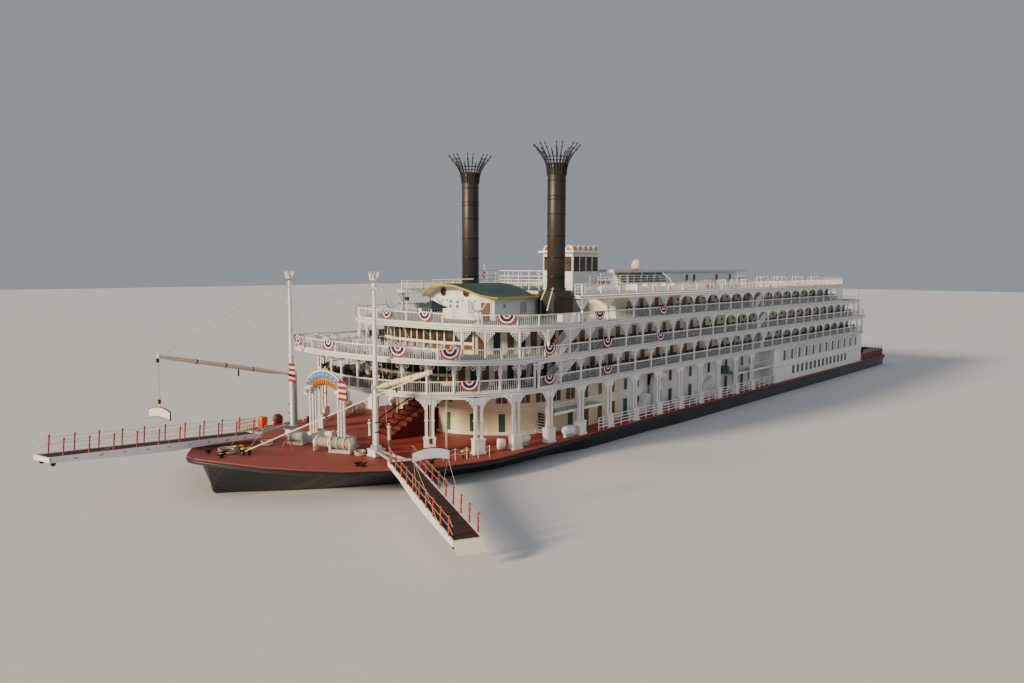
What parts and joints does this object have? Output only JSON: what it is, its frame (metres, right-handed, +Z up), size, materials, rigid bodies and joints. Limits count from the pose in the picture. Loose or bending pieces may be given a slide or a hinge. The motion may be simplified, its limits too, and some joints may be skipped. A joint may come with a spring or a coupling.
{
  "type": "sternwheel paddle boat, 1:10 scale model",
  "caption": "Sternwheel river boat at 1:10: black flat hull, cream houses behind white galleries, tall stacks with flared crowns, swinging booms with landing stages, red paddle wheel.",
  "frame": {"origin": "amidships on the centreline, on the flat bottom of the hull", "axes": "+X to the bow, +Y to port, +Z up; the waterline is at z = 0.26 m"},
  "size_m": [13.7065, 3.882, 3.284],
  "materials": {
    "hull_black": "satin",
    "deck_red": "matte",
    "maroon_paint": "satin",
    "cream_paint": "satin",
    "white_paint": "satin",
    "carpet_red": "matte",
    "deck_green": "matte",
    "roof_green": "satin",
    "canopy_grey": "matte",
    "stack_black": "satin",
    "grey_steel": "satin",
    "boom_cream": "satin",
    "arch_blue": "satin",
    "wheel_red": "satin",
    "bronze": "polished"
  },
  "bodies": {
    "boat": {"hull": "hull_black", "main_deck": "deck_red", "bulwark_port": "maroon_paint", "bulwark_starboard": "maroon_paint", "main_house": "cream_paint", "stern_house": "white_paint", "grand_stair": "carpet_red", "deck_2": "deck_green", "deck_3": "deck_green", "deck_4": "deck_green", "deck_5": "deck_green", "main_columns_port": "white_paint", "main_columns_starboard": "white_paint", "gallery_2_port": "white_paint", "gallery_2_starboard": "white_paint", "gallery_3_port": "white_paint", "gallery_3_starboard": "white_paint", "gallery_4_port": "white_paint", "gallery_4_starboard": "white_paint", "front_gallery_2": "white_paint", "front_gallery_3": "white_paint", "front_gallery_4": "white_paint", "front_posts_3": "white_paint", "sun_rail_port": "white_paint", "sun_rail_starboard": "white_paint", "house_2": "cream_paint", "house_3": "cream_paint", "house_4": "cream_paint", "texas_house": "white_paint", "texas_roof": "roof_green", "deck_hut": "white_paint", "pilothouse": "white_paint", "sun_house": "white_paint", "sun_canopy": "canopy_grey", "stack_base_port": "stack_black", "stack_base_starboard": "stack_black", "mast_port": "white_paint", "mast_starboard": "white_paint", "bow_arch": "arch_blue", "windlass": "grey_steel"},
    "swivel_port": {"swivel_port": "grey_steel"},
    "swivel_starboard": {"swivel_starboard": "grey_steel"},
    "boom_port": {"boom_port": "boom_cream"},
    "boom_starboard": {"boom_starboard": "boom_cream"},
    "stage_port": {"stage_port": "white_paint"},
    "stage_starboard": {"stage_starboard": "white_paint"},
    "stack_port": {"stack_port": "stack_black"},
    "stack_starboard": {"stack_starboard": "stack_black"},
    "paddle_wheel": {"paddle_wheel": "wheel_red"},
    "drive_port": {"drive_port": "grey_steel"},
    "drive_starboard": {"drive_starboard": "grey_steel"},
    "propeller_port": {"propeller_port": "bronze"},
    "propeller_starboard": {"propeller_starboard": "bronze"}
  },
  "joints": [
    {"name": "swing_port", "type": "hinge", "parent": "boat", "child": "swivel_port", "pos_m": [5.09, 0.616, 0.6], "axis": [0, 0, 1], "range_deg": [-2, 30]},
    {"name": "swing_starboard", "type": "hinge", "parent": "boat", "child": "swivel_starboard", "pos_m": [5.09, -0.616, 0.6], "axis": [0, 0, 1], "range_deg": [-100, 0]},
    {"name": "luff_port", "type": "hinge", "parent": "swivel_port", "child": "boom_port", "pos_m": [5.10954, 0.66203, 1.04], "axis": [0.9205, -0.3907, 0], "range_deg": [-12, 55]},
    {"name": "luff_starboard", "type": "hinge", "parent": "swivel_starboard", "child": "boom_starboard", "pos_m": [5.13919, -0.60702, 1.04], "axis": [0.1797, -0.9837, 0], "range_deg": [-12, 55]},
    {"name": "pitch_port", "type": "hinge", "parent": "swivel_port", "child": "stage_port", "pos_m": [5.20802, 1.0591, 0.517], "axis": [0.8996, -0.4368, 0], "range_deg": [0, 24]},
    {"name": "pitch_starboard", "type": "hinge", "parent": "swivel_starboard", "child": "stage_starboard", "pos_m": [5.53268, -0.53515, 0.561], "axis": [0.1797, -0.9837, 0], "range_deg": [0, 16]},
    {"name": "fold_port", "type": "hinge", "parent": "boat", "child": "stack_port", "pos_m": [2.606, 0.624, 1.79], "axis": [0, -1, 0], "range_deg": [0, 80]},
    {"name": "fold_starboard", "type": "hinge", "parent": "boat", "child": "stack_starboard", "pos_m": [2.606, -0.624, 1.79], "axis": [0, -1, 0], "range_deg": [0, 80]},
    {"name": "wheel_spin", "type": "hinge", "parent": "boat", "child": "paddle_wheel", "pos_m": [-5.73, 0, 0.6], "axis": [0, 1, 0], "continuous": true},
    {"name": "steer_port", "type": "hinge", "parent": "boat", "child": "drive_port", "pos_m": [-5.9, 0.86, 0.19], "axis": [0, 0, 1], "continuous": true},
    {"name": "steer_starboard", "type": "hinge", "parent": "boat", "child": "drive_starboard", "pos_m": [-5.9, -0.86, 0.19], "axis": [0, 0, 1], "continuous": true},
    {"name": "propeller_port_spin", "type": "hinge", "parent": "drive_port", "child": "propeller_port", "pos_m": [-5.818, 0.86, 0.092], "axis": [1, 0, 0], "continuous": true},
    {"name": "propeller_starboard_spin", "type": "hinge", "parent": "drive_starboard", "child": "propeller_starboard", "pos_m": [-5.818, -0.86, 0.092], "axis": [1, 0, 0], "continuous": true}
  ]
}
